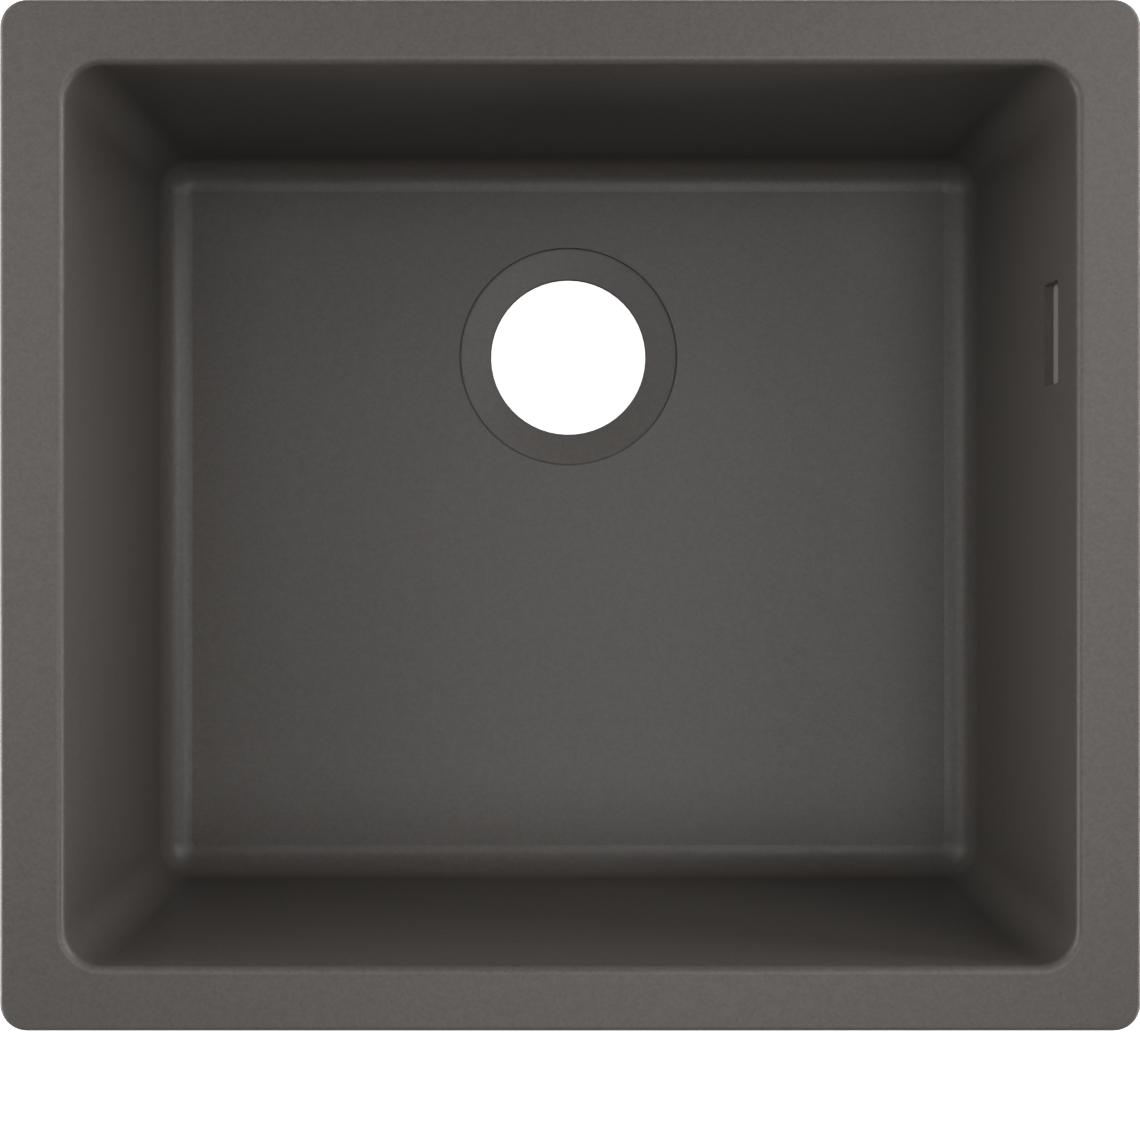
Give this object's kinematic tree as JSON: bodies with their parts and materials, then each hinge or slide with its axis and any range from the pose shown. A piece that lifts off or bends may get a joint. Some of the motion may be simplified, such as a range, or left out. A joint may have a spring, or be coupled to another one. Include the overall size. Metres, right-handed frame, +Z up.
{
  "type": "undermount kitchen sink",
  "caption": "Undermount kitchen sink: one moulded composite bowl with its drain hole near the back, an overflow in the side wall and swing-out clips under the rim.",
  "frame": {"origin": "centre of the bowl's opening, in the plane of the rim's top face", "axes": "+X to the right hand, +Y to the back where the tap stands, +Z up out of the bowl"},
  "size_m": [0.517, 0.452, 0.2015],
  "materials": {
    "composite": "moulded quartz composite, warm dark grey, matt and finely grained",
    "brass": "turned brass, dull",
    "zinc_steel": "pressed steel, bright zinc plated",
    "zinc_screws": "zinc plated steel screws and washers",
    "stainless": "satin stainless steel sheet",
    "gasket_rubber": "black moulded rubber",
    "head_plastic": "light grey moulded polypropylene",
    "nut_plastic": "grey moulded polypropylene",
    "washer_plastic": "pale soft polyethylene"
  },
  "bodies": {
    "sink": {"bowl": "composite", "rim_inserts": "brass", "clip_screws": "zinc_screws", "clip_washers": "zinc_screws", "clip_spring_washers": "zinc_screws", "overflow_plate": "stainless", "overflow_gasket": "gasket_rubber", "overflow_head": "head_plastic", "overflow_inserts": "brass", "overflow_screws": "zinc_screws", "overflow_washers": "zinc_screws"},
    "clip_back_left": {"clip_back_left": "zinc_steel"},
    "clip_back_right": {"clip_back_right": "zinc_steel"},
    "clip_front_left": {"clip_front_left": "zinc_steel"},
    "clip_front_right": {"clip_front_right": "zinc_steel"},
    "clip_left_back": {"clip_left_back": "zinc_steel"},
    "clip_left_front": {"clip_left_front": "zinc_steel"},
    "clip_right_back": {"clip_right_back": "zinc_steel"},
    "clip_right_front": {"clip_right_front": "zinc_steel"},
    "cone_washer": {"overflow_cone_washer": "washer_plastic"},
    "slip_nut": {"overflow_slip_nut": "nut_plastic"}
  },
  "joints": [
    {"name": "clip_back_left_swing", "type": "hinge", "parent": "sink", "child": "clip_back_left", "pos_m": [-0.15, 0.217, -0.0116], "axis": [0, 0, 1], "range_deg": [0, 90]},
    {"name": "clip_back_right_swing", "type": "hinge", "parent": "sink", "child": "clip_back_right", "pos_m": [0.15, 0.217, -0.0116], "axis": [0, 0, -1], "range_deg": [0, 90]},
    {"name": "clip_front_left_swing", "type": "hinge", "parent": "sink", "child": "clip_front_left", "pos_m": [-0.15, -0.217, -0.0116], "axis": [0, 0, -1], "range_deg": [0, 90]},
    {"name": "clip_front_right_swing", "type": "hinge", "parent": "sink", "child": "clip_front_right", "pos_m": [0.15, -0.217, -0.0116], "axis": [0, 0, 1], "range_deg": [0, 90]},
    {"name": "clip_left_back_swing", "type": "hinge", "parent": "sink", "child": "clip_left_back", "pos_m": [-0.241, 0.14, -0.0116], "axis": [0, 0, -1], "range_deg": [0, 90]},
    {"name": "clip_left_front_swing", "type": "hinge", "parent": "sink", "child": "clip_left_front", "pos_m": [-0.241, -0.14, -0.0116], "axis": [0, 0, 1], "range_deg": [0, 90]},
    {"name": "clip_right_back_swing", "type": "hinge", "parent": "sink", "child": "clip_right_back", "pos_m": [0.241, 0.14, -0.0116], "axis": [0, 0, 1], "range_deg": [0, 90]},
    {"name": "clip_right_front_swing", "type": "hinge", "parent": "sink", "child": "clip_right_front", "pos_m": [0.241, -0.14, -0.0116], "axis": [0, 0, -1], "range_deg": [0, 90]},
    {"name": "cone_washer_travel", "type": "slide", "parent": "sink", "child": "cone_washer", "axis": [0, 0, -1], "range_m": [0, 0.009]},
    {"name": "slip_nut_turn", "type": "hinge", "parent": "cone_washer", "child": "slip_nut", "pos_m": [0.249, 0.084, -0.07895], "axis": [0, 0, -1], "range_deg": [0, 1080]}
  ],
  "couplings": [
    {"joint": "slip_nut_turn", "follows": "cone_washer_travel", "rad_per_m": 2094.4}
  ]
}
